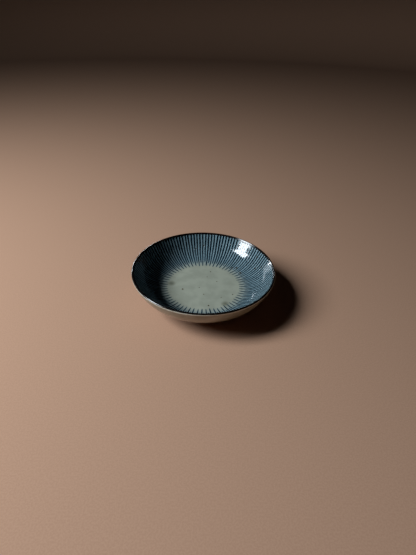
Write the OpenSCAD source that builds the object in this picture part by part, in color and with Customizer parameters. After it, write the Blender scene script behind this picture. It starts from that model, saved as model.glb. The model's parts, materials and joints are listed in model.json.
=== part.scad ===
// Small striped soy sauce dish in glazed stoneware.
// Every profile is drawn in the plane of the axis, with radius along X and height along Y,
// and is revolved about the vertical axis. Height zero is the surface the dish stands on.

/* [Dish] */
// Outside diameter across the lip
rim_d = 100; // [94:1:106]
// Height from the standing face to the top of the lip
dish_h = 26.5; // [25.5:0.5:29]
// Thickness of the rounded lip, coats included
lip_t = 2; // [1.9:0.1:2.4]

/* [Inside] */
// Radius of the flat well in the middle
well_r = 27.3; // [25:0.1:29]
// Thickness from the level base up to the glaze in the well, coats included
floor_t = 5.24; // [4.8:0.02:5.8]
// Slope of the straight flare under the lip, in degrees above level
flare_turn = 58; // [56:1:62]
// How deep the flare cuts into the round of the lip
lip_cut = 0.35; // [0.2:0.05:0.35]

/* [Outside] */
// How far inside the edge of the well the level base ends and the round wall starts
base_inset = 4.32; // [3.6:0.02:5]
// Height of the level base above the standing face
base_h = 4.86; // [4.6:0.02:5.4]

/* [Foot] */
// Outside diameter of the foot ring
foot_d = 50; // [47:1:52]
// Width of the bare clay foot ring at its root
root_w = 4.2; // [4:0.1:5]
// Width of the face that the dish stands on
rest_w = 2.6; // [2:0.1:2.8]
// Bevel on both edges of the standing face
foot_bevel = 0.5; // [0.3:0.1:0.6]
// Height of clay left bare above the standing face
bare_h = 1.6; // [1.2:0.1:2]

/* [Coats] */
// Thickness of the outside coat, the rim line and the coat in the foot
coat_t = 0.5; // [0.4:0.05:0.6]
// Height of the painted stripes above the inside glaze
stripe_t = 0.2; // [0.15:0.05:0.3]
// How far the dark rim line comes down the flare from the crest of the lip
band_in = 1.2; // [1:0.1:1.6]
// Where the dark rim line ends on the outer shoulder of the lip, in degrees above level
band_turn = 35; // [25:1:50]

/* [Stripes] */
// Number of long stripes, with a short stripe between each two
stripe_pairs = 63; // [40:1:70]
// How far the long stripes reach into the flat well
long_lap = 2; // [0.5:0.1:4]
// How much further out the short stripes start
short_back = 4; // [2:0.1:8]
// Length of the pointed end of a stripe
tip_l = 2.6; // [1.5:0.1:4]
// Width of a stripe where its pointed end is full
stripe_root_w = 0.95; // [0.7:0.05:1]
// Width of a stripe at the lip
stripe_rim_w = 1.5; // [1.1:0.05:1.7]

/* [Hidden] */
$fn = 180;

// How far a cutting shape runs past what it cuts
overrun = 5;

// A round is kept from these shares of its radius outwards, where the rest is filled anyway
near_share = 0.75;
far_share = 1.5;

// Lip: a round that the outside wall runs into
rim_r = rim_d / 2;
lip_r = lip_t / 2;
lip_c = [rim_r - lip_r, dish_h - lip_r];

// Inside surface, at the top of the stripes: a flat well, then an arc that leaves the well level
// and runs into a straight flare, which cuts into the round of the lip and makes its crest
well_y = base_h + floor_t + stripe_t;
flare_up = [cos(flare_turn), sin(flare_turn)];
flare_out = [-sin(flare_turn), cos(flare_turn)];
lip_to_flare = lip_r - lip_cut;
flare_mid = lip_c + lip_to_flare * flare_out;
crest_l = sqrt(lip_r ^ 2 - lip_to_flare ^ 2);
bend_r = flare_mid[0] - (flare_mid[1] - well_y) / tan(flare_turn);
inner_r = (bend_r - well_r) / tan(flare_turn / 2);
inner_c = [well_r, well_y + inner_r];

// Outside surface: one arc that leaves the base level and ends on the round of the lip
base_r = well_r - base_inset;
base_to_lip = lip_c - [base_r, base_h];
outer_r = (base_to_lip * base_to_lip - lip_r ^ 2) / (2 * (base_to_lip[1] - lip_r));
outer_c = [base_r, base_h + outer_r];
outer_up = (lip_c - outer_c) / norm(lip_c - outer_c);

// Foot ring, with its standing face in the middle of its width
foot_r = foot_d / 2;
foot_clay_r = foot_r - coat_t;
root_in_r = foot_clay_r - root_w;
rest_mid_r = (foot_clay_r + root_in_r) / 2;
rest_out_r = rest_mid_r + rest_w / 2;
rest_in_r = rest_mid_r - rest_w / 2;

// Stripes
pitch = 360 / stripe_pairs;
long_start_r = well_r - long_lap;
short_start_r = long_start_r + short_back;

// Round of a wall, from the point right under the arc's centre to where the arrow points
module wall_round(centre, radius, arrow) {
    down = [0, -1];
    intersection() {
        translate(centre) circle(r = radius);
        polygon([
            centre + near_share * radius * down,
            centre + far_share * radius * down,
            centre + far_share * radius * arrow,
            centre + near_share * radius * arrow
        ]);
    }
}

// Air inside the dish, with its surface moved out into the wall by the depth given
module inside_air(depth) {
    radius = inner_r + depth;
    past_lip = flare_mid - depth * flare_out + overrun * flare_up;
    wall_round(inner_c, radius, -flare_out);
    polygon([
        [0, well_y - depth],
        [well_r, well_y - depth],
        inner_c - radius * flare_out,
        past_lip,
        [0, past_lip[1]]
    ]);
}

// Everything within the outside surface, moved in by the depth given
module outside_fill(depth) {
    radius = outer_r - depth;
    wall_round(outer_c, radius, outer_up);
    polygon([
        [0, base_h + depth],
        [base_r, base_h + depth],
        outer_c + radius * outer_up,
        lip_c,
        [0, lip_c[1]]
    ]);
    polygon([
        lip_c,
        flare_mid - depth * flare_out,
        inner_c - (inner_r + depth) * flare_out
    ]);
    translate(lip_c) circle(r = lip_r - depth);
}

// Wall and base of the dish, with both surfaces moved in by the depth given
module wall_profile(depth) {
    difference() {
        outside_fill(depth);
        inside_air(depth);
    }
}

// Outline that holds all that lies under the rim line, which ends inside on the flare, and outside
// on the lip's shoulder
module below_rim_line() {
    outside_end = lip_c + overrun * [cos(band_turn), sin(band_turn)];
    below_lip = lip_c + (crest_l - band_in) * flare_up;
    inside_end = below_lip + overrun * flare_out;
    polygon([
        [0, -overrun],
        [rim_r + overrun, -overrun],
        [rim_r + overrun, outside_end[1]],
        outside_end,
        lip_c,
        below_lip,
        inside_end,
        [0, inside_end[1]]
    ]);
}

// Layer on the inside of the wall, from one depth under the stripes' tops to a lesser one
module inside_layer(from_depth, to_depth) {
    intersection() {
        difference() {
            inside_air(from_depth);
            inside_air(to_depth);
        }
        below_rim_line();
    }
}

// Rectangle between two radii and two heights
module band_section(from_r, to_r, from_y, to_y) {
    polygon([[from_r, from_y], [to_r, from_y], [to_r, to_y], [from_r, to_y]]);
}

// Clay of the foot ring, from its standing face up into the base
module foot_profile() {
    polygon([
        [rest_in_r, 0],
        [rest_out_r, 0],
        [rest_out_r + foot_bevel, foot_bevel],
        [foot_clay_r, bare_h],
        [foot_clay_r, well_y],
        [root_in_r, well_y],
        [root_in_r, bare_h],
        [rest_in_r - foot_bevel, foot_bevel]
    ]);
}

// One stripe seen from above: a pointed start, then slowly wider up to the lip
module stripe_outline(start_r) {
    full_r = start_r + tip_l;
    polygon([
        [start_r, 0],
        [full_r, -stripe_root_w / 2],
        [rim_r, -stripe_rim_w / 2],
        [rim_r, stripe_rim_w / 2],
        [full_r, stripe_root_w / 2]
    ]);
}

// Ring of stripes laid on the inside glaze, up to the rim line
module stripes(start_r, first_turn) {
    intersection() {
        rotate_extrude() inside_layer(stripe_t, 0);
        linear_extrude(height = dish_h)
            for (i = [0 : stripe_pairs - 1])
                rotate(first_turn + i * pitch) stripe_outline(start_r);
    }
}

// Thrown clay wall and base under the coats
module bowl_body() {
    color("#a88d6f") rotate_extrude() wall_profile(coat_t);
}

// Turned foot ring, bare where the dish stands
module foot_ring() {
    color("#8a6848") rotate_extrude() difference() {
        foot_profile();
        outside_fill(coat_t);
    }
}

// Pale glaze over the well and the wall inside
module inner_glaze() {
    color("#858d84") rotate_extrude() inside_layer(coat_t, stripe_t);
}

// Pale glaze over the wall outside and down the outer side of the foot
module outer_glaze() {
    color("#b5afa2") rotate_extrude() difference() {
        intersection() {
            union() {
                outside_fill(0);
                band_section(0, foot_r, bare_h, well_y);
            }
            below_rim_line();
        }
        outside_fill(coat_t);
        inside_air(coat_t);
        band_section(0, foot_clay_r, 0, well_y);
    }
}

// Pale glaze in the hollow of the foot
module foot_glaze() {
    color("#a9a698") rotate_extrude() difference() {
        band_section(0, root_in_r, bare_h, base_h + coat_t);
        band_section(0, root_in_r - coat_t, 0, base_h);
    }
}

// Dark iron line over the lip
module rim_line() {
    color("#1c1412") rotate_extrude() difference() {
        wall_profile(0);
        wall_profile(coat_t);
        below_rim_line();
    }
}

// Blue stripes that reach down into the well
module long_stripes() {
    color("#22394a") stripes(long_start_r, 0);
}

// Blue stripes that start further up, one between each two long ones
module short_stripes() {
    color("#1e3444") stripes(short_start_r, pitch / 2);
}

bowl_body();
foot_ring();
inner_glaze();
outer_glaze();
foot_glaze();
rim_line();
long_stripes();
short_stripes();
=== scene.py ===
"""Soy sauce dish in glazed stoneware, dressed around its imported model.

A pale ash glaze lies over the inside, blue strokes brushed on it climb the wall, a dark iron line
covers the lip, and a warm pale glaze covers the outside down to a bare turned foot.

Every surface is a grid of points worked out with numpy. Lengths are millimetres, heights are
measured from the standing face, and turns are measured from the first long stroke, which lies
along +X. They turn to metres only where a mesh, a material or a light is made.
"""

import json
import logging
import math
from dataclasses import dataclass, field
from enum import Enum
from functools import cached_property

import bpy
import numpy as np
from mathutils import Matrix, Quaternion, Vector

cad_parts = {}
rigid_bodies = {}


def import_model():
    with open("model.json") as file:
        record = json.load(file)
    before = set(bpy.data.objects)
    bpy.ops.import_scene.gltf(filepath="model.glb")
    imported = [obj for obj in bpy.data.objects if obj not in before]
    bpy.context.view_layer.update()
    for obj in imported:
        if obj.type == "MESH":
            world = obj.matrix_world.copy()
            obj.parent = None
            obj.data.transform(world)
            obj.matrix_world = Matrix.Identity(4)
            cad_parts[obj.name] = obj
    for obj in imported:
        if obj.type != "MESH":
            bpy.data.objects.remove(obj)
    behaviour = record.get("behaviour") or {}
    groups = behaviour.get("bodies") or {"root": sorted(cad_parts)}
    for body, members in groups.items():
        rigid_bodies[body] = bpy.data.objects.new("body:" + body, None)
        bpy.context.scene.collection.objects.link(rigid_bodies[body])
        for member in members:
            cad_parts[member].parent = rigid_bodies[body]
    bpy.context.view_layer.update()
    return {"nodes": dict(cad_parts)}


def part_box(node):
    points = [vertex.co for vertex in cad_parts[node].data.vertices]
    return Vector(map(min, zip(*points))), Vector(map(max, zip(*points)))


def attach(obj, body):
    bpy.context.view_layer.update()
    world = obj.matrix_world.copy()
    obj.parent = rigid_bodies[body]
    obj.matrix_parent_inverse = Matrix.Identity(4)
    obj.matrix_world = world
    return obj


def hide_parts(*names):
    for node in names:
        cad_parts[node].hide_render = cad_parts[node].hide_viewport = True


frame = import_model()

log = logging.getLogger("dish")

MM = 0.001
FULL_TURN = 2 * math.pi
BODY = "root"

Tree = bpy.types.NodeTree
Socket = bpy.types.NodeSocket
Group = bpy.types.ShaderNodeTree

# Places of a Mix node's colour sockets
MIX_FIRST = 6
MIX_SECOND = 7
MIX_RESULT = 2


def linear_colour(code: str) -> tuple[float, float, float, float]:
    """Turns an sRGB hex code into the linear colour that the shaders use.

    Args:
        code: Six hex digits, red first.

    Returns:
        Linear red, green, blue and a full alpha.
    """
    coded = np.array([int(code[start : start + 2], 16) for start in (0, 2, 4)]) / 255
    curved = ((coded + 0.055) / 1.055) ** 2.4
    linear = np.where(coded <= 0.04045, coded / 12.92, curved)
    return (*linear.tolist(), 1.0)


def per_size(size: float) -> float:
    """Scale of a texture whose features measure the given millimetres."""
    return 1 / (size * MM)


def add_node(
    tree: Tree, kind: str, inputs: dict | None = None, **settings: object
) -> bpy.types.Node:
    """Adds a node with its settings, and links or sets its inputs.

    Args:
        tree: Node tree that gets the node.
        kind: Blender's name for the kind of node.
        inputs: Socket name or number, with the socket to link or the value to set.
        settings: Settings of the node itself.

    Returns:
        The new node.
    """
    node = tree.nodes.new(kind)
    for name, value in settings.items():
        setattr(node, name, value)
    for key, value in (inputs or {}).items():
        if isinstance(value, Socket):
            tree.links.new(value, node.inputs[key])
        else:
            node.inputs[key].default_value = value
    return node


def paint_over(tree: Tree, base: Socket | str, *layers: tuple[Socket, Socket | str]) -> Socket:
    """Lays colours over a base, one after another.

    Args:
        tree: Node tree that gets the nodes.
        base: Colour that lies lowest, as a socket or a hex code.
        layers: For each layer, how much of it covers and its colour.

    Returns:
        The colour on top.
    """
    base = linear_colour(base) if isinstance(base, str) else base
    for cover, colour in layers:
        colour = linear_colour(colour) if isinstance(colour, str) else colour
        inputs = {0: cover, MIX_FIRST: base, MIX_SECOND: colour}
        base = add_node(tree, "ShaderNodeMix", inputs, data_type="RGBA").outputs[MIX_RESULT]
    return base


def math_node(tree: Tree, operation: str, *values: object, clamp: bool = False) -> Socket:
    """Works out one sum on numbers.

    Args:
        tree: Node tree that gets the node.
        operation: Blender's name for the sum.
        values: Sockets and values that it takes.
        clamp: Whether the result is held between 0 and 1.

    Returns:
        The result.
    """
    inputs = dict(enumerate(values))
    node = add_node(tree, "ShaderNodeMath", inputs, operation=operation, use_clamp=clamp)
    return node.outputs[0]


def vector_node(tree: Tree, operation: str, *values: object, result: str = "Vector") -> Socket:
    """Works out one sum on vectors.

    Args:
        tree: Node tree that gets the node.
        operation: Blender's name for the sum.
        values: Sockets and values that it takes.
        result: Name of the output to give back.

    Returns:
        The result.
    """
    inputs = dict(enumerate(values))
    return add_node(tree, "ShaderNodeVectorMath", inputs, operation=operation).outputs[result]


def spread(
    tree: Tree,
    value: Socket,
    start: Socket | float,
    end: float,
    low: float = 0.0,
    high: float = 1.0,
    smooth: bool = True,
) -> Socket:
    """Maps a value from one span to another and holds it at both ends.

    Args:
        tree: Node tree that gets the node.
        value: The value.
        start: Value that gives the low result.
        end: Value that gives the high result.
        low: Result at the start.
        high: Result at the end.
        smooth: Whether the change eases in and out.

    Returns:
        The mapped value.
    """
    inputs = {0: value, 1: start, 2: end, 3: low, 4: high}
    kind = "SMOOTHSTEP" if smooth else "LINEAR"
    return add_node(tree, "ShaderNodeMapRange", inputs, interpolation_type=kind).outputs[0]


def noise(tree: Tree, where: Socket, size: float, detail: float = 2.0) -> bpy.types.Node:
    """Adds a cloudy noise.

    Args:
        tree: Node tree that gets the node.
        where: Coordinates that the pattern follows.
        size: Size of its features.
        detail: Number of finer layers in it.

    Returns:
        The noise's node.
    """
    inputs = {"Vector": where, "Scale": per_size(size), "Detail": detail}
    return add_node(tree, "ShaderNodeTexNoise", inputs)


@dataclass(frozen=True)
class Clouds:
    """Cloudy patches, by their size and the noise values at which cover starts and is full."""

    size: float
    low: float = 0.35
    high: float = 0.65

    def cover(self, tree: Tree, where: Socket) -> Socket:
        """How much each place is covered: a noise, spread between its two values."""
        return spread(tree, noise(tree, where, self.size).outputs[0], self.low, self.high)


@dataclass(frozen=True)
class Heights:
    """A cover that grows from one height to another, and how much it covers in full."""

    start: float
    end: float
    full: float = 1.0

    def cover(self, tree: Tree, where: Socket) -> Socket:
        """How much each place is covered: its height, spread between the two heights."""
        height = add_node(tree, "ShaderNodeSeparateXYZ", {0: where}).outputs["Z"]
        return spread(tree, height, self.start * MM, self.end * MM, high=self.full)


@dataclass(frozen=True)
class Freckles:
    """Freckles in a jumbled grid, by the size of a cell, the share of the cells that have none,
    the radius of the largest freckle in cells, and how much its middle covers.
    """

    gap: float
    rare: float
    radius: float
    full: float = 1.0
    smooth: bool = True

    def cover(self, tree: Tree, where: Socket) -> Socket:
        """Adds the freckles.

        Args:
            tree: Node tree that gets the nodes.
            where: Coordinates that the pattern follows.

        Returns:
            How much each place is covered.
        """
        inputs = {"Vector": where, "Scale": per_size(self.gap)}
        cells = add_node(tree, "ShaderNodeTexVoronoi", inputs)
        chance = add_node(tree, "ShaderNodeSeparateColor", {0: cells.outputs["Color"]})
        size = spread(tree, chance.outputs[0], self.rare, 1.0, 0.0, self.radius, smooth=False)
        gap = cells.outputs["Distance"]
        return spread(tree, gap, size, 0.0, high=self.full, smooth=self.smooth)


def marks_of(tree: Tree, *names: str) -> list[Socket]:
    """Reads marks that a piece's mesh holds.

    Args:
        tree: Node tree that gets the nodes.
        names: Names of the marks.

    Returns:
        Their values, in the same order.
    """
    marks = (add_node(tree, "ShaderNodeAttribute", attribute_name=name) for name in names)
    return [mark.outputs["Fac"] for mark in marks]


def wander(turn: np.ndarray, seed: int, lowest: int, highest: int) -> np.ndarray:
    """Uneven wave that closes on itself round the dish, from -1 to 1 at most.

    In words: a sum of cosines of whole multiples of the turn, from the lowest count to the
    highest, with seeded strengths that weaken as one over the root of the count, divided by the
    largest sum.

    Args:
        turn: Turns in radians.
        seed: Seed of the strengths and phases.
        lowest: Fewest waves round the dish.
        highest: Most waves round the dish.

    Returns:
        The wave at each turn.
    """
    rng = np.random.default_rng(seed)
    counts = np.arange(lowest, highest + 1)
    strengths = rng.normal(size=counts.size) / np.sqrt(counts)
    phases = rng.uniform(0, FULL_TURN, counts.size)
    wave = (strengths * np.cos(np.multiply.outer(turn, counts) + phases)).sum(axis=-1)
    return wave / np.abs(wave).max()


def ease(value: np.ndarray) -> np.ndarray:
    """Smooth step: 0 below 0, 1 above 1 and three squares less two cubes between."""
    held = np.clip(value, 0, 1)
    return held * held * (3 - 2 * held)


def turns(steps: int) -> np.ndarray:
    """Even turns round the dish in radians, as one row."""
    return (np.arange(steps) / steps * FULL_TURN)[None]


def turned(radius: np.ndarray, height: np.ndarray, turn: np.ndarray) -> np.ndarray:
    """Points at a radius, a height and a turn: radius times cosine, radius times sine, height.

    Args:
        radius: Distances from the axis.
        height: Heights above the standing face.
        turn: Turns in radians, of a shape that the others fit.

    Returns:
        The points, with X, Y and Z last.
    """
    radius, height, turn = np.broadcast_arrays(radius, height, turn)
    return np.stack([radius * np.cos(turn), radius * np.sin(turn), height], axis=-1)


@dataclass(frozen=True)
class DishForm:
    """Lines of the dish: a flat well, a round wall that runs into a straight flare, and a lip.

    A depth is measured from the outermost skin into the clay. A length is measured along the
    skin, from the edge of the well or of the level base. A way past the crest is a length over
    the lip, below zero on the flare inside.
    """

    rim_r: float
    height: float
    shoulder_y: float
    base_y: float
    well_y: float
    foot_r: float
    hollow_r: float
    bare_y: float
    # Radius of the lip's round, slope of the flare in degrees, and how deep it cuts into the round
    lip_r: float = 1.0
    flare: float = 58.0
    lip_cut: float = 0.35
    # Length over which the crest is softened to each side, and how many points it is a mean of
    soft_l: float = 0.2
    soft_points: int = 7
    # How far the iron line comes down the flare
    band_in: float = 1.2
    # Where the flat well and the level base end
    well_r: float = 27.3
    base_r: float = 22.98
    # Thickness of a coat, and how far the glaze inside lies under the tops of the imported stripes
    coat: float = 0.5
    stroke_t: float = 0.2
    # Edges of the standing face
    rest_in_r: float = 21.1
    rest_out_r: float = 23.7
    # Depths and spacing of the marks that fingers leave on the turning wall, how much their
    # phase drifts, over how many spacings, and the length over which they fade under the lip
    mark_in_d: float = 0.006
    mark_out_d: float = 0.025
    mark_gap: float = 3.6
    mark_drift: float = 0.8
    drift_gaps: float = 1.1
    mark_fade: float = 4.0
    # How far the lip is out of round and out of level, with their first seed and their fewest
    # and most lobes
    pull_in: float = 0.06
    sag: float = 0.06
    seed: int = 11
    lobes: tuple[int, int] = (2, 5)

    @classmethod
    def from_frame(cls) -> "DishForm":
        """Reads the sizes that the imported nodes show, in millimetres.

        Returns:
            The dish's form.
        """
        names = ("rim_line", "outer_glaze", "inner_glaze", "bowl_body", "foot_ring", "foot_glaze")
        low, high = {}, {}
        for name in names:
            low[name], high[name] = (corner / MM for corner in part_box(name))
        coat = cls.coat
        # The iron line's widest place lies 0.18 mm inside the outer glaze's, so the dressed lip is
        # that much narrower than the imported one
        return cls(
            rim_r=high["rim_line"].x,
            height=high["rim_line"].z,
            shoulder_y=high["outer_glaze"].z,
            base_y=low["bowl_body"].z - coat,
            well_y=low["inner_glaze"].z + coat,
            foot_r=high["foot_ring"].x + coat,
            hollow_r=high["foot_glaze"].x - coat,
            bare_y=low["foot_glaze"].z,
        )

    @property
    def lip_c(self) -> np.ndarray:
        """Centre of the lip's round."""
        return np.array([self.rim_r - self.lip_r, self.height - self.lip_r])

    @property
    def slope_in(self) -> float:
        """Slope of the flare, in radians."""
        return math.radians(self.flare)

    @property
    def flare_mid(self) -> np.ndarray:
        """Point of the flare that is nearest to the centre of the lip's round."""
        out = np.array([-math.sin(self.slope_in), math.cos(self.slope_in)])
        return self.lip_c + (self.lip_r - self.lip_cut) * out

    @property
    def crest_turn(self) -> float:
        """Angle of the crest about the centre of the lip's round, above level, in radians."""
        half = math.acos((self.lip_r - self.lip_cut) / self.lip_r)
        return math.pi / 2 + self.slope_in - half

    @property
    def inner_r(self) -> float:
        """Radius of the wall inside, an arc that leaves the well level and ends on the flare."""
        across, up = self.flare_mid - (self.well_r, self.well_y)
        return (across - up / math.tan(self.slope_in)) / math.tan(self.slope_in / 2)

    @property
    def bend_l(self) -> float:
        """Length of that arc."""
        return self.inner_r * self.slope_in

    @property
    def crest_l(self) -> float:
        """Length along the inside from the edge of the well to the crest of the lip."""
        bend_y = self.well_y + self.inner_r * (1 - math.cos(self.slope_in))
        crest_y = self.lip_c[1] + self.lip_r * math.sin(self.crest_turn)
        return self.bend_l + (crest_y - bend_y) / math.sin(self.slope_in)

    @property
    def outer_r(self) -> float:
        """Radius of the outside wall, which leaves the base level and ends on the lip's round."""
        across, up = self.lip_c - (self.base_r, self.base_y)
        return (across**2 + up**2 - self.lip_r**2) / (2 * (up - self.lip_r))

    @property
    def slope_out(self) -> float:
        """Slope of the outside wall where it meets the lip, in radians."""
        return math.asin((self.lip_c[0] - self.base_r) / (self.outer_r - self.lip_r))

    @property
    def outer_l(self) -> float:
        """Length along the outside from the edge of the base to the lip's round."""
        return self.slope_out * self.outer_r

    @property
    def shoulder(self) -> float:
        """Way past the crest at which the outside glaze comes out from under the iron line."""
        turn = math.asin((self.shoulder_y - self.lip_c[1]) / self.lip_r)
        return self.lip_r * (self.crest_turn - turn)

    @property
    def lip_end(self) -> float:
        """Way past the crest at which the lip's round runs into the outside wall."""
        return self.lip_r * (self.crest_turn + math.pi / 2 - self.slope_out)

    def marks(self, length: np.ndarray, end: float, depth: float) -> np.ndarray:
        """Throwing marks along a wall.

        In words: a sine of the length, its spacing slowly drifting, times the depth, which
        eases to nothing at the lip.

        Args:
            length: Lengths along the wall.
            end: Length at which the lip starts.
            depth: Depth of the marks.

        Returns:
            How far each place is moved into the clay.
        """
        drift = self.mark_drift * np.sin(length / (self.drift_gaps * self.mark_gap))
        fade = ease((end - length) / self.mark_fade)
        return depth * fade * np.sin(FULL_TURN * length / self.mark_gap + drift)

    def inside(self, length: np.ndarray, depth: np.ndarray) -> tuple[np.ndarray, np.ndarray]:
        """Points on the inside, by length along it from the edge of the well.

        In words: a negative length is a level line back to the axis. A positive one is an arc
        about a centre straight above the well's edge, whose slope is the length over the radius,
        and past the arc a straight line at the flare's slope.

        Args:
            length: Lengths along the inside, below zero in the well.
            depth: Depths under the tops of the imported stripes.

        Returns:
            Radii and heights.
        """
        depth = depth + self.marks(length, self.crest_l, self.mark_in_d)
        slope = np.clip(length / self.inner_r, 0, self.slope_in)
        past = np.maximum(length - self.bend_l, 0)
        reach = self.inner_r + depth
        radius = self.well_r + np.minimum(length, 0) + reach * np.sin(slope)
        height = self.well_y + self.inner_r - reach * np.cos(slope)
        return radius + past * math.cos(self.slope_in), height + past * math.sin(self.slope_in)

    def outside(self, length: np.ndarray, depth: np.ndarray) -> tuple[np.ndarray, np.ndarray]:
        """Points on the outside wall, by length along it from the edge of the level base.

        In words: an arc about a centre straight above the base's edge, whose slope is the length
        over the radius.

        Args:
            length: Lengths along the outside.
            depth: Depths under its skin.

        Returns:
            Radii and heights.
        """
        sunk = self.mark_out_d * ease((self.outer_l - length) / self.mark_fade)
        depth = depth + self.marks(length, self.outer_l, self.mark_out_d) + sunk
        slope = length / self.outer_r
        radius = self.base_r + (self.outer_r - depth) * np.sin(slope)
        height = self.base_y + self.outer_r - (self.outer_r - depth) * np.cos(slope)
        return radius, height

    def over_lip(self, past: np.ndarray, depth: np.ndarray) -> tuple[np.ndarray, np.ndarray]:
        """Points over the lip, by way past its crest.

        In words: the flare up to the crest, then the lip's round, whose angle falls by the way
        over the radius. Each point is the mean of a few that lie evenly within the softened
        length to either side, which rounds the crest.

        Args:
            past: Ways past the crest, up to the end of the lip's round.
            depth: Depths under the skin.

        Returns:
            Radii and heights.
        """
        past, depth = np.broadcast_arrays(past, depth)
        near = past[..., None] + np.linspace(-self.soft_l, self.soft_l, self.soft_points)
        deep = depth[..., None]
        flare = self.inside(self.crest_l + near, deep)
        angle = self.crest_turn - near / self.lip_r
        swept = self.lip_r - deep
        lip = (self.lip_c[0] + swept * np.cos(angle), self.lip_c[1] + swept * np.sin(angle))
        radius, height = (np.where(near < 0, *pair).mean(axis=-1) for pair in zip(flare, lip))
        return radius, height

    def hand_made(self, points: np.ndarray) -> np.ndarray:
        """Takes the perfect round off a form, by the same rule for every piece.

        In words: the radius shrinks by the pull times half of one plus an uneven wave of a few
        lobes, and the height sinks in the same way by the sag, both times the square of the
        height's share of the whole, so that the foot stays level and nothing grows past the
        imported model.

        Args:
            points: Points with X, Y and Z last.

        Returns:
            The moved points.
        """
        turn = np.arctan2(points[..., 1], points[..., 0])
        strength = (points[..., 2] / self.height) ** 2
        pull = self.pull_in * strength * (1 + wander(turn, self.seed, *self.lobes)) / 2
        sag = self.sag * strength * (1 + wander(turn, self.seed + 1, *self.lobes)) / 2
        moved = points.copy()
        moved[..., :2] *= (1 - pull / self.rim_r)[..., None]
        moved[..., 2] -= sag
        return moved

    def swept(self, parts: list[tuple[np.ndarray, np.ndarray]], turn: np.ndarray) -> np.ndarray:
        """Turns an outline about the axis and takes the perfect round off it.

        Args:
            parts: Stretches of the outline in order, as radii and heights. Each holds one value
                to a point, or a row of values, one to a turn.
            turn: Turns in radians, as one row.

        Returns:
            The points, with X, Y and Z last.
        """
        level = np.ones_like(turn)
        grids = (
            [(axis if axis.ndim == 2 else axis[:, None]) * level for axis in part]
            for part in parts
        )
        radius, height = (np.concatenate(axis) for axis in zip(*grids))
        return self.hand_made(turned(radius, height, turn))


@dataclass
class Piece:
    """One visible piece, as one or more grids of points that close round their last direction.

    The grid's directions are copies, rows and steps. The outward side is where row direction
    cross step direction points.
    """

    name: str
    nodes: tuple[str, ...]
    slot: str
    points: np.ndarray
    ring: bool = False
    marks: dict[str, np.ndarray] = field(default_factory=dict)

    def faces(self) -> tuple[np.ndarray, list[list[int]]]:
        """Joins neighbours in the grid, with a triangle wherever a row shrinks to one point.

        Returns:
            Which grid points are used, and the corners of each face among them.
        """
        shape = self.points.shape[:3]
        numbers = np.arange(math.prod(shape)).reshape(shape)
        if self.ring:
            numbers = np.concatenate([numbers, numbers[:, :1]], axis=1)
        else:
            numbers[:, 0] = numbers[:, 0, :1]
            numbers[:, -1] = numbers[:, -1, :1]
        numbers = np.concatenate([numbers, numbers[..., :1]], axis=2)
        corners = (
            numbers[:, :-1, :-1],
            numbers[:, 1:, :-1],
            numbers[:, 1:, 1:],
            numbers[:, :-1, 1:],
        )
        used, quads = np.unique(np.stack(corners, axis=-1), return_inverse=True)
        quads = quads.reshape(-1, 4)
        starts = quads[:, 0] == quads[:, 3]
        ends = quads[:, 1] == quads[:, 2]
        whole = quads[~(starts | ends)].tolist()
        return used, whole + quads[starts][:, :3].tolist() + quads[ends][:, [0, 1, 3]].tolist()

    def build(self, material: bpy.types.Material) -> bpy.types.Object:
        """Makes the mesh, gives it its finish and seats it on the frame.

        Args:
            material: Finish of the whole piece.

        Returns:
            The object.
        """
        used, faces = self.faces()
        mesh = bpy.data.meshes.new(self.name)
        mesh.from_pydata((self.points.reshape(-1, 3)[used] * MM).tolist(), [], faces)
        for name, values in self.marks.items():
            spread = np.broadcast_to(values, self.points.shape[:3]).reshape(-1)[used]
            mark = mesh.attributes.new(name, "FLOAT", "POINT")
            mark.data.foreach_set("value", spread.astype(np.float32))
        mesh.shade_smooth()
        mesh.materials.append(material)
        piece = bpy.data.objects.new(self.name, mesh)
        bpy.context.scene.collection.objects.link(piece)
        if self.nodes:
            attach(piece, BODY)
            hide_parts(*self.nodes)
        log.info("%s: %d points, %d faces", self.name, used.size, len(faces))
        return piece


@dataclass(frozen=True)
class Finish:
    """A surface: its roughness, its colours from the lowest up, its gloss and its fine relief."""

    name: str
    roughness: float
    base: str
    layers: tuple[tuple[Clouds | Heights | Freckles, str], ...] = ()
    ior: float = 1.5
    gloss: float = 0.5
    # Height of the relief, and the size and detail of the noise that it follows
    relief: float = 0.0
    grain_size: float = 1.0
    grain_detail: float = 2.0

    def paint(self, tree: Tree, where: Socket) -> tuple[Socket, Socket | None]:
        """Lays the layers over the base.

        Args:
            tree: Node tree of the material.
            where: Coordinates on the piece.

        Returns:
            The colour, and the relief where there is one.
        """
        covers = ((layer.cover(tree, where), colour) for layer, colour in self.layers)
        colour = paint_over(tree, self.base, *covers)
        if not self.relief:
            return colour, None
        return colour, noise(tree, where, self.grain_size, self.grain_detail).outputs[0]

    def material(self) -> bpy.types.Material:
        """Makes the material.

        Returns:
            The material.
        """
        material = bpy.data.materials.new(self.name)
        material.use_nodes = True
        tree = material.node_tree
        tree.nodes.clear()
        where = add_node(tree, "ShaderNodeTexCoord").outputs["Object"]
        colour, height = self.paint(tree, where)
        surface = {
            "Base Color": colour,
            "Roughness": self.roughness,
            "IOR": self.ior,
            "Specular IOR Level": self.gloss,
        }
        if height is not None:
            lift = {"Height": height, "Distance": self.relief * MM}
            surface["Normal"] = add_node(tree, "ShaderNodeBump", lift).outputs[0]
        shader = add_node(tree, "ShaderNodeBsdfPrincipled", surface)
        add_node(tree, "ShaderNodeOutputMaterial", {"Surface": shader.outputs[0]})
        return material


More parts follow.
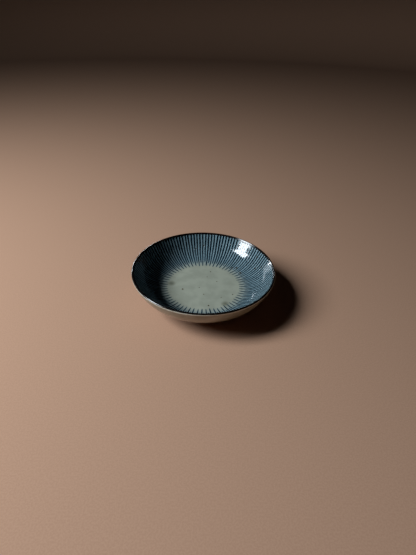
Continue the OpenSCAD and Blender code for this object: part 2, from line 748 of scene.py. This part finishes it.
@dataclass(frozen=True)
class Spot:
    """An iron spot in the glaze inside, by turn in degrees, share of the rim's radius and width."""

    turn: float
    share: float
    width: float

    def place(self, form: DishForm) -> tuple[float, float, float]:
        """Where the spot lies on the glaze.

        In words: past the well's edge, the slope is the arc sine of the way out over the
        wall's radius, and the length is that slope times the radius. Past the arc, the rest of
        the way out is divided by the cosine of the flare's slope.

        Args:
            form: The dish's form.

        Returns:
            X, Y and Z in metres.
        """
        out = self.share * form.rim_r - form.well_r
        bend = form.inner_r * math.sin(form.slope_in)
        length = out
        if out > 0:
            length = form.inner_r * math.asin(min(out, bend) / form.inner_r)
        if out > bend:
            length += (out - bend) / math.cos(form.slope_in)
        radius, height = form.inside(np.array(length), np.array(form.stroke_t))
        return tuple((turned(radius, height, np.radians(self.turn)) * MM).tolist())


@dataclass(frozen=True, kw_only=True)
class AshGlaze(Finish):
    """Feldspar and ash glaze, dipped and fired to stoneware heat.

    The eye sees a glassy, faintly green grey with cloudy thickness, small iron spots that bled
    up from the clay, and a surface that ripples a little.
    """

    form: DishForm
    name: str = "ash_glaze"
    roughness: float = 0.07
    ior: float = 1.52
    relief: float = 0.004
    grain_size: float = 2.6
    grain_detail: float = 1.0
    base: str = "B9BDAB"
    layers: tuple[tuple[Clouds, str], ...] = ((Clouds(9.0), "ADB1A0"),)
    tinge: str = "7D9AA6"
    smudge: str = "686B57"
    spot: str = "30241A"
    halo: str = "84795A"
    # Where the blue starts to tinge the glaze between the strokes, and where it does so fully
    tinge_from_r: float = 25.5
    tinge_full_r: float = 34.0
    tinge_cover: float = 0.92
    # How far a spot's outline is shaken, how far its halo reaches over its own radius, how near
    # to its middle the halo and the core start and are full, and how much the halo covers
    shake: float = 0.7
    halo_reach: float = 1.5
    halo_span: tuple[float, float] = (0.0, 0.4)
    core_span: tuple[float, float] = (0.3, 0.55)
    halo_cover: float = 0.75
    freckles: Freckles = Freckles(4.0, 0.72, 0.16, 0.6, smooth=False)
    spots: tuple[Spot, ...] = (
        Spot(30.8, 0.643, 1.5),
        Spot(41.3, 0.675, 1.3),
        Spot(46.9, 0.638, 0.8),
        Spot(48.1, 0.75, 0.8),
        Spot(21.9, 0.825, 1.0),
        Spot(20.6, 0.85, 0.9),
        Spot(29.0, 0.913, 1.2),
        Spot(16.3, 0.883, 1.0),
        Spot(90.6, 0.867, 1.0),
        Spot(98.8, 0.838, 0.8),
        Spot(195.8, 0.306, 1.2),
        Spot(215.2, 0.071, 0.7),
        Spot(271.6, 0.194, 0.8),
        Spot(279.8, 0.446, 1.1),
        Spot(335.8, 0.454, 0.9),
        Spot(314.2, 0.36, 0.7),
        Spot(76.4, 0.232, 0.8),
        Spot(73.6, 0.375, 0.7),
        Spot(30.1, 0.228, 0.7),
    )
    smudges: tuple[Spot, ...] = (Spot(173.9, 0.465, 8.0), Spot(307.6, 0.499, 8.0))

    def nearness(
        self, tree: Tree, where: Socket, spots: tuple[Spot, ...], reach: float = 1.0
    ) -> Socket:
        """How near each place is to a listed spot, from 0 outside to 1 at its middle.

        Args:
            tree: Node tree that gets the nodes.
            where: Coordinates on the glaze.
            spots: The spots.
            reach: Radius of the blurred spot over the spot's own radius.

        Returns:
            The nearness to whichever spot is nearest in its own width.
        """
        nearest = None
        for spot in spots:
            gap = vector_node(tree, "DISTANCE", where, spot.place(self.form), result="Value")
            near = spread(tree, gap, spot.width / 2 * reach * MM, 0.0, smooth=False)
            nearest = near if nearest is None else math_node(tree, "MAXIMUM", nearest, near)
        return nearest

    @cached_property
    def group(self) -> Group:
        """The glaze's colour and ripple, made once for every piece that shows this glaze.

        Returns:
            A node group from coordinates to colour, height and where the spots are.
        """
        tree = bpy.data.node_groups.new(self.name, "ShaderNodeTree")
        for name, way, kind in (
            ("Where", "INPUT", "NodeSocketVector"),
            ("Colour", "OUTPUT", "NodeSocketColor"),
            ("Height", "OUTPUT", "NodeSocketFloat"),
            ("Spot", "OUTPUT", "NodeSocketFloat"),
        ):
            tree.interface.new_socket(name, in_out=way, socket_type=kind)
        where = add_node(tree, "NodeGroupInput").outputs["Where"]

        level = vector_node(tree, "MULTIPLY", where, (1.0, 1.0, 0.0))
        radius = vector_node(tree, "LENGTH", level, result="Value")
        span = (self.tinge_from_r * MM, self.tinge_full_r * MM)
        tinged = spread(tree, radius, *span, high=self.tinge_cover, smooth=False)

        # Spots have ragged outlines, so their coordinates are shaken by a fine noise
        shaken = noise(tree, where, self.shake).outputs["Color"]
        centred = vector_node(tree, "SUBTRACT", shaken, (0.5, 0.5, 0.5))
        strength = (self.shake * MM,) * 3
        ragged = vector_node(tree, "MULTIPLY_ADD", centred, strength, where)
        near = self.nearness(tree, ragged, self.spots, self.halo_reach)
        core = spread(tree, near, *self.core_span)
        halo = spread(tree, near, *self.halo_span, high=self.halo_cover)
        blur = self.nearness(tree, where, self.smudges)
        blur = spread(tree, blur, 0.0, 1.0, high=self.halo_cover)

        clouded, height = super().paint(tree, where)
        colour = paint_over(
            tree,
            clouded,
            (tinged, self.tinge),
            (blur, self.smudge),
            (self.freckles.cover(tree, ragged), self.halo),
            (halo, self.halo),
            (core, self.spot),
        )
        add_node(tree, "NodeGroupOutput", {"Colour": colour, "Height": height, "Spot": core})
        return tree

    def paint(self, tree: Tree, where: Socket) -> tuple[Socket, Socket]:
        """Colour and relief, both from the glaze's own node group."""
        glaze = add_node(tree, "ShaderNodeGroup", {"Where": where}, node_tree=self.group)
        return glaze.outputs["Colour"], glaze.outputs["Height"]


@dataclass(frozen=True, kw_only=True)
class BlueStroke(Finish):
    """Iron-rich cobalt wash, brushed on in single strokes and melted into the glaze.

    The eye sees a grey blue at the pointed start, where the wash is thin, and a near-black
    blue further up, with soft edges and the drag of the brush's hairs.
    """

    glaze: AshGlaze
    name: str = "blue_stroke"
    roughness: float = 0.08
    ior: float = 1.52
    relief: float = 0.004
    base: str = "44606F"
    full: str = "0F2733"
    dark: str = "0A1C26"
    spot: str = "30241A"
    # Width of the lines that the hairs leave, how much they change along a millimetre of the
    # stroke, and how far apart the patterns of two strokes lie
    hair_gap: float = 0.22
    hair_change: float = 0.12
    hair_shift: float = 40.0
    # Share of the half width at which the soft edge starts, and how much the hairs fray it
    edge_share: float = 0.84
    fray: float = 0.12
    # Length of the thin start, its share of the wash, and where the wash is darkest
    start_l: float = 4.0
    start_share: float = 0.15
    dark_l: float = 18.0
    # Wash with the least and the most on the brush, and between its hairs and under them
    loads: tuple[float, float] = (0.7, 1.15)
    drags: tuple[float, float] = (0.7, 1.1)
    hair_span: tuple[float, float] = (0.3, 0.7)

    def paint(self, tree: Tree, where: Socket) -> tuple[Socket, Socket]:
        """Paints the wash over the colour of the glaze that it lies on.

        Args:
            tree: Node tree of the material.
            where: Coordinates on the strokes.

        Returns:
            The colour, and the ripple of the glaze.
        """
        group = self.glaze.group
        under = add_node(tree, "ShaderNodeGroup", {"Where": where}, node_tree=group)
        across, run, load, side = marks_of(tree, "across", "run", "load", "side")
        lines = add_node(tree, "ShaderNodeCombineXYZ", {0: side, 1: run, 2: load}).outputs[0]
        stretch = (1 / self.hair_gap, self.hair_change, self.hair_shift)
        lines = {"Vector": vector_node(tree, "MULTIPLY", lines, stretch), "Scale": 1.0}
        hairs = add_node(tree, "ShaderNodeTexNoise", lines).outputs[0]

        # The wash grows along the start, and differs with the brush's load and its hairs
        amount = spread(tree, run, 0.0, self.start_l, self.start_share, 1.0, smooth=False)
        loaded = spread(tree, load, 0.0, 1.0, *self.loads, smooth=False)
        dragged = spread(tree, hairs, *self.hair_span, *self.drags, smooth=False)
        density = math_node(tree, "MULTIPLY", amount, loaded)
        density = math_node(tree, "MULTIPLY", density, dragged, clamp=True)
        deepens = spread(tree, run, self.start_l, self.dark_l)
        ink = paint_over(tree, self.base, (density, self.full), (deepens, self.dark))
        frayed = math_node(tree, "MULTIPLY_ADD", hairs, self.fray, across)
        cover = spread(tree, frayed, 1 + self.fray / 2, self.edge_share + self.fray / 2)
        spots = (under.outputs["Spot"], self.spot)
        colour = paint_over(tree, under.outputs["Colour"], (cover, ink), spots)
        return colour, under.outputs["Height"]


@dataclass(frozen=True)
class IronLine(Finish):
    """Iron-oxide wash over the lip, fired into the glaze.

    The eye sees a glossy black brown that turns rusty where it thins out at its two edges and
    on the crest of the lip.
    """

    name: str = "iron_line"
    roughness: float = 0.15
    ior: float = 1.55
    relief: float = 0.01
    grain_size: float = 0.5
    base: str = "0C0A0A"
    worn: str = "1A130F"
    wear: Clouds = Clouds(2.2)
    edge: str = "2E2219"
    edge_w: float = 0.35

    def paint(self, tree: Tree, where: Socket) -> tuple[Socket, Socket]:
        """Paints the wash, worn on the crest and thin at the edges.

        Args:
            tree: Node tree of the material.
            where: Coordinates on the line.

        Returns:
            The colour and the relief.
        """
        inward, crest = marks_of(tree, "inward", "crest")
        thin = spread(tree, inward, self.edge_w, 0.0)
        worn = math_node(tree, "MULTIPLY", crest, self.wear.cover(tree, where))
        full, height = super().paint(tree, where)
        return paint_over(tree, full, (worn, self.worn), (thin, self.edge)), height


@dataclass(frozen=True)
class WarmGlaze(Finish):
    """The same kind of glaze, thicker and creamier, over the outside and in the foot's hollow.

    The eye sees a glossy greige with brown freckles from the clay. Painted shade makes it darker
    and browner down the wall towards the floor, and a painted highlight makes it pale right under
    the iron line, where the lip's shoulder catches the window.
    """

    name: str = "warm_glaze"
    roughness: float = 0.1
    ior: float = 1.52
    relief: float = 0.02
    grain_size: float = 3.0
    grain_detail: float = 1.0
    base: str = "958E7E"
    layers: tuple[tuple[Clouds | Heights | Freckles, str], ...] = (
        (Clouds(11.0), "827B69"),
        # Painted shade: darker and browner from 18 mm down to the foot, standing in for shade near
        # the floor
        (Heights(18.0, 1.5), "75604C"),
        # Painted highlight: a pale band right under the iron line, where the lip's shoulder faces
        # the light
        (Heights(24.7, 25.4), "CFCEC2"),
        (Freckles(3.4, 0.55, 0.2), "4A3626"),
    )


@dataclass(frozen=True)
class BareStoneware(Finish):
    """Unglazed stoneware, turned when leather hard and fired.

    The eye sees a dry, toasted brown with darker clouds, a warmer flash next to the glaze, and
    sand in it.
    """

    name: str = "bare_stoneware"
    roughness: float = 0.85
    relief: float = 0.06
    grain_size: float = 0.45
    grain_detail: float = 3.0
    base: str = "8B6B50"
    layers: tuple[tuple[Clouds | Heights, str], ...] = (
        (Clouds(5.0), "6B4F3A"),
        (Heights(1.0, 1.6, 0.7), "A0683E"),
        (Clouds(0.45, 0.62, 0.75), "B79A78"),
    )


@dataclass(frozen=True)
class PaleCard(Finish):
    """Matt pale card, pressed from short fibres, for the floor and the backdrop.

    Up the cove wall the card is painted darker as painted shade, which also dims its reflections.
    """

    name: str = "pale_card"
    roughness: float = 0.95
    gloss: float = 0.15
    base: str = "D2A88C"
    layers: tuple[tuple[Clouds | Heights, str], ...] = (
        (Clouds(0.8), "CBA186"),
        # Painted shade: the card darkens from 60 mm up to 400 mm on the cove wall
        (Heights(60.0, 400.0), "3A332F"),
    )


@dataclass(frozen=True)
class GlazedInside:
    """The glaze over the well and the inside wall, tucked under the iron line."""

    form: DishForm
    steps: int = 504
    well_rows: int = 16
    wall_rows: int = 72
    # Depth of the hidden side, how many rows of the skin go to one of its own, and how far the
    # coat reaches under the iron line
    back_depth: float = 0.42
    back_step: int = 6
    tuck: float = 0.35

    def piece(self) -> Piece:
        """Works out the coat.

        In words: the skin runs from the axis over the well and up the wall at the depth of the
        glaze, and the hidden side runs back to the axis at its own depth.

        Returns:
            The piece.
        """
        form = self.form
        top = form.crest_l - form.band_in + self.tuck
        well = np.linspace(-form.well_r, 0, self.well_rows, endpoint=False)
        out = np.concatenate([well, np.linspace(0, top, self.wall_rows)])
        length = np.concatenate([out, out[:: -self.back_step], out[:1]])
        depth = np.where(np.arange(length.size) < out.size, form.stroke_t, self.back_depth)
        points = form.swept([form.inside(length, depth)], turns(self.steps))
        return Piece("inside_glaze_coat", ("inner_glaze",), "inside_glaze", points[None])


class StrokeKind(Enum):
    """The two lengths of stroke, by the node that each stands for."""

    LONG = "long_stripes"
    SHORT = "short_stripes"


@dataclass(frozen=True)
class BrushedStrokes:
    """One ring of brushed strokes, each a thin closed layer of colour on the glaze."""

    form: DishForm
    kind: StrokeKind
    count: int = 63
    long_start_r: float = 25.3
    short_start_r: float = 29.3
    tip_l: float = 2.6
    root_w: float = 0.95
    rim_w: float = 1.5
    # How far a stroke stands on the glaze, and how deep its hidden side lies in it
    rise: float = 0.01
    dip: float = 0.002
    root: float = 0.05
    # Powers that round off the tip, flatten the top and crowd the rows towards the tip, and how
    # much sooner than in width the tip is full in thickness
    tip_power: float = 0.7
    flat_power: int = 8
    row_power: float = 1.6
    tip_rise: float = 1.5
    rows: int = 40
    top_steps: int = 10
    back_steps: int = 4
    tuck: float = 0.3
    # Unevenness of the painter's hand
    start_jitter: float = 0.55
    side_jitter: float = 0.09
    width_jitter: float = 0.09
    sway: float = 0.08
    sway_l: tuple[float, float] = (10, 24)

    def piece(self) -> Piece:
        """Works out the ring of strokes.

        In words: along a stroke the half width grows with a power of a sine over the tip's
        length, then evenly to the rim. Across it, the top follows one less the eighth power of
        the place across, the hidden side follows a parabola, and both are sunk a little. A
        seeded sway moves the middle line a little to each side.

        Returns:
            The piece.
        """
        form = self.form
        seed, start_r, shift = {
            StrokeKind.LONG: (21, self.long_start_r, 0.0),
            StrokeKind.SHORT: (22, self.short_start_r, 0.5),
        }[self.kind]
        rng = np.random.default_rng(seed)
        each = (self.count, 1, 1)
        start = start_r - form.well_r + self.start_jitter * rng.uniform(-1, 1, each)
        widths = 1 + self.width_jitter * rng.uniform(-1, 1, each)
        offset = self.side_jitter * rng.uniform(-1, 1, each)
        phases = rng.uniform(0, FULL_TURN, each)
        waves = rng.uniform(*self.sway_l, each)
        load = rng.uniform(0, 1, each)

        band = form.crest_l - form.band_in
        top = band + self.tuck
        along = np.append(np.linspace(0, 1, self.rows - 1) ** self.row_power, 1.0)
        length = start + (top - start) * along[None, :, None]
        run = length - start
        tip = np.sin(math.pi / 2 * np.clip(run / self.tip_l, 0, 1)) ** self.tip_power
        share = np.clip(length / band, 0, 1)
        half = widths * tip * (self.root_w + (self.rim_w - self.root_w) * share) / 2
        half[:, -1] = 0

        over = np.cos(math.pi * np.arange(self.top_steps + 1) / self.top_steps)
        back = np.cos(math.pi * np.arange(1, self.back_steps) / self.back_steps)
        across = np.concatenate([-over, back])[None, None]
        is_top = np.arange(across.size) <= self.top_steps
        crown = self.rise * (1 - across**self.flat_power)
        rise = np.where(is_top, crown, -self.root * (1 - across**2))
        rise = rise * np.clip(tip * self.tip_rise, 0, 1) - self.dip

        radius, height = form.inside(length, form.stroke_t - rise)
        middle = offset + self.sway * np.sin(FULL_TURN * length / waves + phases)
        pitch = FULL_TURN / self.count
        base_turn = (np.arange(self.count).reshape(each) + shift) * pitch
        turn = base_turn + (middle + across * half) / radius
        points = form.hand_made(turned(radius, height, turn))
        name = "long_brush_strokes" if self.kind is StrokeKind.LONG else "short_brush_strokes"
        marks = {"across": np.abs(across), "side": across * half, "run": run, "load": load}
        return Piece(name, (self.kind.value,), "blue_stripes", points, marks=marks)


@dataclass(frozen=True)
class IronRim:
    """The iron line over the lip, with its two uneven lower edges."""

    form: DishForm
    steps: int = 360
    rows: int = 52
    # How far the edges wander, with their first seed and their fewest and most waves
    uneven: float = 0.12
    seed: int = 31
    waves: tuple[int, int] = (3, 60)
    # The length over which the edges sink into the glaze, and how far they run past the band
    # inside and outside
    fade_l: float = 0.12
    overlap_in: float = 0.15
    overlap_out: float = 0.35
    # How far under the coats on either side the edges end, the depth of the hidden side, and
    # how many rows of the skin go to one of its own
    sink: float = 0.05
    back_depth: float = 0.4
    back_step: int = 3
    # Share of the lip's radius, down from the top, over which the line can be worn
    worn_share: float = 0.5

    def piece(self) -> Piece:
        """Works out the coat over the lip.

        In words: the skin runs from the edge inside over the crest to the edge outside, and each
        edge's place is the band's own plus an uneven wave. Near an edge the skin eases down to
        just under the coat beside it. The hidden side runs back under it all.

        Returns:
            The piece.
        """
        form = self.form
        turn = turns(self.steps)
        wave_in, wave_out = (wander(turn, self.seed + side, *self.waves) for side in (0, 1))
        edge_in = self.uneven * wave_in - form.band_in - self.overlap_in
        edge_out = self.uneven * wave_out + form.shoulder + self.overlap_out
        share = np.linspace(0, 1, self.rows)[:, None]
        past = edge_in + (edge_out - edge_in) * share
        from_in = 1 - ease((past - edge_in) / self.fade_l)
        from_out = 1 - ease((edge_out - past) / self.fade_l)
        sunk = (form.stroke_t + self.sink) * from_in + self.sink * from_out
        back = past[:: -self.back_step]
        parts = [form.over_lip(past, sunk), form.over_lip(back, self.back_depth)]
        points = form.swept(parts, turn)

        inward = np.concatenate([np.minimum(past - edge_in, edge_out - past), 0 * back])
        height = np.concatenate([part[1] for part in parts])
        worn_h = self.worn_share * form.lip_r
        crest = ease((height - form.height + worn_h) / worn_h)
        marks = {"inward": inward[None], "crest": crest[None]}
        return Piece(
            "iron_rim_line", ("rim_line",), "iron_rim", points[None], ring=True, marks=marks
        )


@dataclass(frozen=True)
class GlazedOutside:
    """The glaze over the outside wall and down the outer side of the foot."""

    form: DishForm
    steps: int = 288
    lip_rows: int = 20
    wall_rows: int = 84
    fillet_rows: int = 12
    foot_rows: int = 8
    bead_rows: int = 8
    # How far the coat lies under the iron line's skin, and how far it reaches under it
    under: float = 0.03
    tuck: float = 0.35
    # Depth of the hidden side, how many rows of the skin go to one of its own, how deep it lies
    # in the foot's clay, and how far it runs up into the base
    back_depth: float = 0.42
    back_step: int = 4
    inset: float = 0.1
    root_h: float = 0.3
    # Radius of the pool of glaze in the corner above the foot, and how far the edge wanders,
    # with its seed and its fewest and most waves
    fillet_r: float = 1.3
    uneven: float = 0.3
    seed: int = 41
    waves: tuple[int, int] = (3, 24)
    # How thick the bead at the edge swells
    bead: float = 0.1

    def piece(self) -> Piece:
        """Works out the coat.

        In words: the skin runs round the shoulder of the lip and down the arc of the wall to a
        small fillet that touches both the wall and the upright side of the foot, down that side,
        and round a bead to the clay. The height of the bead is the bare clay's plus an uneven
        wave. The hidden side runs back up.

        Returns:
            The piece.
        """
        form = self.form
        turn = turns(self.steps)
        sunk = self.under + 2 * form.mark_out_d

        # Centre of the fillet: its radius out from the foot, and both radii from the wall's centre
        reach = form.outer_r - sunk + self.fillet_r
        corner_r = form.foot_r + self.fillet_r
        drop = math.sqrt(reach**2 - (corner_r - form.base_r) ** 2)
        corner_y = form.base_y + form.outer_r - drop
        slope = math.asin((corner_r - form.base_r) / reach)

        past = np.linspace(form.shoulder - self.tuck, form.lip_end, self.lip_rows)[:-1]
        lip = form.over_lip(past, np.full_like(past, self.under))
        back_lip = form.over_lip(past[:: -self.back_step], self.back_depth)
        length = np.linspace(form.outer_l, slope * form.outer_r, self.wall_rows)
        fading = ease((length - slope * form.outer_r) / (2 * self.fillet_r))
        flat = form.mark_out_d - form.marks(length, form.outer_l, form.mark_out_d)
        wall = form.outside(length, self.under + (1 - fading) * flat)

        swing = np.linspace(math.pi / 2 + slope, math.pi, self.fillet_rows)[1:]
        fillet = (
            corner_r + self.fillet_r * np.cos(swing),
            corner_y + self.fillet_r * np.sin(swing),
        )
        edge = form.bare_y + self.uneven * wander(turn, self.seed, *self.waves)
        end_y = edge + form.coat
        share = np.linspace(0, 1, self.foot_rows)[1:, None]
        side = (
            form.foot_r + self.bead * ease(2 * share - 1),
            corner_y + (end_y - corner_y) * share,
        )
        roll = np.linspace(0, math.pi / 2, self.bead_rows)[1:, None]
        thick = form.coat + self.bead + self.inset
        bead = (
            form.foot_r + self.bead - thick * (1 - np.cos(roll)),
            end_y - form.coat * np.sin(roll),
        )
        clay_r = form.foot_r - form.coat - self.inset
        back_foot = (
            np.array([[clay_r], [clay_r]]),
            np.stack([end_y[0], np.full(self.steps, form.base_y + self.root_h)]),
        )
        back_wall = form.outside(length[:: -self.back_step], self.back_depth)
        parts = [lip, wall, fillet, side, bead, back_foot, back_wall, back_lip]
        points = form.swept(parts, turn)
        return Piece(
            "outside_glaze_coat", ("outer_glaze",), "outside_glaze", points[None], ring=True
        )


@dataclass(frozen=True)
class TurnedFoot:
    """The bare foot ring with its turning grooves, and the glaze in its hollow."""

    form: DishForm
    steps: int = 288
    # Length of a step along the ring's outline, and how many steps soften a corner to each side
    spacing: float = 0.12
    soften: int = 5
    # Depth and spacing of the turning grooves, and how unevenly they are cut
    groove: float = 0.03
    groove_gap: float = 0.75
    chatter: float = 0.35
    chatter_seed: int = 51
    chatter_waves: tuple[int, int] = (5, 80)
    top_y: float = 5.25
    bevel: float = 0.5
    # The hollow's fillet, how far the edge of its glaze wanders, and how deep its hidden side
    # lies in the clay
    fillet_r: float = 1.1
    uneven: float = 0.25
    seed: int = 52
    waves: tuple[int, int] = (3, 24)
    inset: float = 0.1
    bead_rows: int = 7
    fillet_rows: int = 10
    base_rows: int = 40
    # Spacing of the rings under the base, and how far they take to fade at either end
    ring_gap: float = 2.3
    ring_in: float = 3.0
    ring_out: float = 2.0

    def ring(self) -> Piece:
        """Works out the foot ring.

        In words: the outline of the ring is cut into even short steps, each point is moved to
        the mean of its neighbours so that the corners round off, and the faces are grooved by a
        sine of the length along the outline.

        Returns:
            The piece.
        """
        form = self.form
        out_r = form.foot_r - form.coat
        in_r = form.hollow_r + form.coat
        outline = np.array(
            [
                [in_r, self.top_y],
                [out_r, self.top_y],
                [out_r, form.bare_y],
                [form.rest_out_r + self.bevel, self.bevel],
                [form.rest_out_r, 0],
                [form.rest_in_r, 0],
                [form.rest_in_r - self.bevel, self.bevel],
                [in_r, form.bare_y],
                [in_r, self.top_y],
            ]
        )
        legs = np.hypot(*np.diff(outline, axis=0).T)
        length = np.concatenate([[0], np.cumsum(legs)])
        along = np.linspace(0, length[-1], int(length[-1] / self.spacing), endpoint=False)
        line = np.stack([np.interp(along, length, outline[:, axis]) for axis in (0, 1)], axis=1)
        reach = range(-self.soften, self.soften + 1)
        line = sum(np.roll(line, shift, axis=0) for shift in reach) / len(reach)
        ahead = np.roll(line, -1, axis=0) - np.roll(line, 1, axis=0)
        ahead /= np.hypot(*ahead.T)[:, None]
        outward = np.stack([-ahead[:, 1], ahead[:, 0]], axis=1)
        cut = self.groove * (1 + np.sin(FULL_TURN * along / self.groove_gap)) / 2
        turn = turns(self.steps)
        chatter = 1 + self.chatter * wander(turn, self.chatter_seed, *self.chatter_waves)
        radius = line[:, :1] - outward[:, :1] * cut[:, None] * chatter
        height = line[:, 1:] - outward[:, 1:] * cut[:, None] * chatter
        points = form.swept([(radius, height)], turn)
        return Piece("turned_foot_ring", ("foot_ring",), "foot_clay", points[None], ring=True)

    def hollow(self) -> Piece:
        """Works out the glaze in the hollow of the foot.

        In words: the hidden side runs out from the axis and down beside the clay. The skin runs
        round a small bead, up the side, round a fillet and back to the axis, with faint turning
        rings that fade out at the middle.

        Returns:
            The piece.
        """
        form = self.form
        turn = turns(self.steps)
        clay_r = form.hollow_r + form.coat + self.inset
        clay_y = np.full(self.steps, form.base_y + form.coat - self.inset)
        edge = form.bare_y + self.uneven * wander(turn, self.seed, *self.waves)
        end_y = edge + form.coat
        back = (
            np.array([[0.0], [clay_r / 2], [clay_r], [clay_r]]),
            np.stack([clay_y, clay_y, clay_y, end_y[0]]),
        )
        roll = np.linspace(math.pi / 2, 0, self.bead_rows)[:, None]
        bead = (
            form.hollow_r + (form.coat + self.inset) * (1 - np.cos(roll)),
            end_y - form.coat * np.sin(roll),
        )
        swing = np.linspace(0, math.pi / 2, self.fillet_rows)
        fillet = (
            form.hollow_r - self.fillet_r * (1 - np.cos(swing)),
            form.base_y - self.fillet_r * (1 - np.sin(swing)),
        )
        flat_end = form.hollow_r - self.fillet_r
        flat_r = np.linspace(flat_end, 0, self.base_rows)[1:]
        rings = self.groove * np.sin(FULL_TURN * flat_r / self.ring_gap)
        rings = rings * ease(flat_r / self.ring_in) * ease((flat_end - flat_r) / self.ring_out)
        points = form.swept([back, bead, fillet, (flat_r, form.base_y + rings)], turn)
        return Piece("foot_hollow_glaze", ("foot_glaze",), "outside_glaze", points[None])


class Reach(Enum):
    """What a light reaches: the card, the dish, or only the reflections in the dish's glaze."""

    CARD = "card"
    DISH = "dish"
    GLINT = "glint"


@dataclass(frozen=True)
class SoftLight:
    """An area light, by where it stands as seen from the dish, its size and its brightness."""

    name: str
    reach: Reach
    azimuth: float
    elevation: float
    distance: float
    width: float
    height: float
    radiance: float
    tilt: float = 0.0
    colour: str = "EEF7FF"

    def build(self, reached: bpy.types.Collection) -> bpy.types.Object:
        """Makes the light, turned to the dish.

        In words: its power is pi times its area times its radiance.

        Args:
            reached: The objects that it lights.

        Returns:
            The light's object.
        """
        lamp = bpy.data.lights.new(self.name, "AREA")
        lamp.shape = "RECTANGLE"
        lamp.size = self.width
        lamp.size_y = self.height
        lamp.energy = math.pi * self.width * self.height * self.radiance
        lamp.color = linear_colour(self.colour)[:3]
        light = bpy.data.objects.new(self.name, lamp)
        turn = math.radians(self.azimuth)
        rise = math.radians(self.elevation)
        toward = Vector(
            (math.cos(rise) * math.cos(turn), math.cos(rise) * math.sin(turn), math.sin(rise))
        )
        tilted = Quaternion((0, 0, 1), math.radians(self.tilt))
        light.location = toward * self.distance
        light.rotation_euler = (toward.to_track_quat("Z", "Y") @ tilted).to_euler()
        light.visible_camera = False
        light.visible_diffuse = self.reach is not Reach.GLINT
        light.visible_glossy = self.reach is Reach.GLINT
        light.light_linking.receiver_collection = reached
        bpy.context.scene.collection.objects.link(light)
        return light


@dataclass(frozen=True)
class PhotoCamera:
    """The photograph's camera, by place, the point on the floor that it looks at, and roll."""

    place: tuple[float, float, float] = (0.0, -224.3, 179.9)
    target: tuple[float, float, float] = (3.53, 24.38, 0.0)
    roll: float = 1.556
    lens: float = 25.3
    sensor: float = 36.0

    def build(self) -> bpy.types.Object:
        """Makes the camera and hands it to the scene.

        Returns:
            The camera's object.
        """
        data = bpy.data.cameras.new("photo_camera")
        data.lens = self.lens
        data.sensor_width = self.sensor
        data.clip_start = 0.01
        camera = bpy.data.objects.new("photo_camera", data)
        place = Vector(self.place) * MM
        aim = (Vector(self.target) * MM - place).to_track_quat("-Z", "Y").to_matrix()
        spin = Matrix.Rotation(math.radians(self.roll), 3, "Z")
        camera.matrix_world = Matrix.Translation(place) @ (aim @ spin).to_4x4()
        bpy.context.scene.collection.objects.link(camera)
        bpy.context.scene.camera = camera
        return camera


@dataclass(frozen=True)
class Studio:
    """A round pale cove with a soft window light, and a dim room."""

    floor_r: float = 1300.0
    cove_r: float = 500.0
    wall_y: float = 1100.0
    thick: float = 20.0
    floor_rows: tuple[float, ...] = (0, 200, 600)
    cove_rows: int = 24
    steps: int = 96
    # How far the floor lies under the standing face, so that the two don't flicker
    drop: float = 0.03
    room: str = "0C0A0A"
    lights: tuple[SoftLight, ...] = (
        SoftLight("card_window", Reach.CARD, -164.0, 43.0, 0.72, 0.20, 0.36, 22.0),
        SoftLight("dish_window", Reach.DISH, -168.0, 34.5, 0.75, 0.24, 0.18, 43.0),
        SoftLight("window_glint", Reach.GLINT, -169.0, 34.0, 0.75, 0.28, 0.25, 24.0),
        SoftLight("lower_glint", Reach.GLINT, -168.0, 21.5, 0.75, 0.10, 0.09, 24.0),
        SoftLight("low_strip", Reach.GLINT, 121.5, 8.5, 1.0, 0.64, 0.05, 30.0, -16.9),
    )

    def build(self, dish: list[bpy.types.Object]) -> None:
        """Makes the cove, the lights, the room's own dim light and the view's colours.

        Args:
            dish: The pieces of the dish.
        """
        swing = np.linspace(-math.pi / 2, 0, self.cove_rows)
        bend_r = self.floor_r + self.cove_r * np.cos(swing)
        bend = np.stack([bend_r, self.cove_r * (1 + np.sin(swing))], axis=1)
        back_r = self.floor_r + self.cove_r + self.thick
        end = [
            [self.floor_r + self.cove_r, self.wall_y],
            [back_r, self.wall_y],
            [back_r, -self.thick],
            [0, -self.thick],
        ]
        line = np.concatenate([[[row, 0] for row in self.floor_rows], bend, end])
        line = line - (0, self.drop)
        points = turned(line[:, :1], line[:, 1:], turns(self.steps))
        cove = Piece("pale_cove", (), "", points[None]).build(PaleCard().material())
        card_only = bpy.data.collections.new("card_only")
        card_only.objects.link(cove)
        dish_only = bpy.data.collections.new("dish_only")
        for piece in dish:
            dish_only.objects.link(piece)
        for light in self.lights:
            light.build(card_only if light.reach is Reach.CARD else dish_only)
        world = bpy.data.worlds.new("dim_room")
        world.use_nodes = True
        world.node_tree.nodes["Background"].inputs[0].default_value = linear_colour(self.room)
        bpy.context.scene.world = world
        bpy.context.scene.view_settings.view_transform = "Standard"


def main() -> None:
    """Builds the dish and the studio."""
    logging.basicConfig(level=logging.INFO, format="%(name)s: %(message)s")
    form = DishForm.from_frame()
    log.info("form: %s", form)

    ash = AshGlaze(form=form)
    stroke = BlueStroke(glaze=ash).material()
    warm = WarmGlaze().material()
    clay = BareStoneware().material()
    foot = TurnedFoot(form)
    dish = [
        GlazedInside(form).piece().build(ash.material()),
        *(BrushedStrokes(form, kind).piece().build(stroke) for kind in StrokeKind),
        IronRim(form).piece().build(IronLine().material()),
        GlazedOutside(form).piece().build(warm),
        foot.ring().build(clay),
        foot.hollow().build(warm),
    ]
    body = frame["nodes"]["bowl_body"]
    body.data.materials.clear()
    body.data.materials.append(clay)
    log.info("bowl_body: keeps its packed shape under the coats")

    Studio().build([*dish, body])
    PhotoCamera().build()


if __name__ == "__main__":
    main()
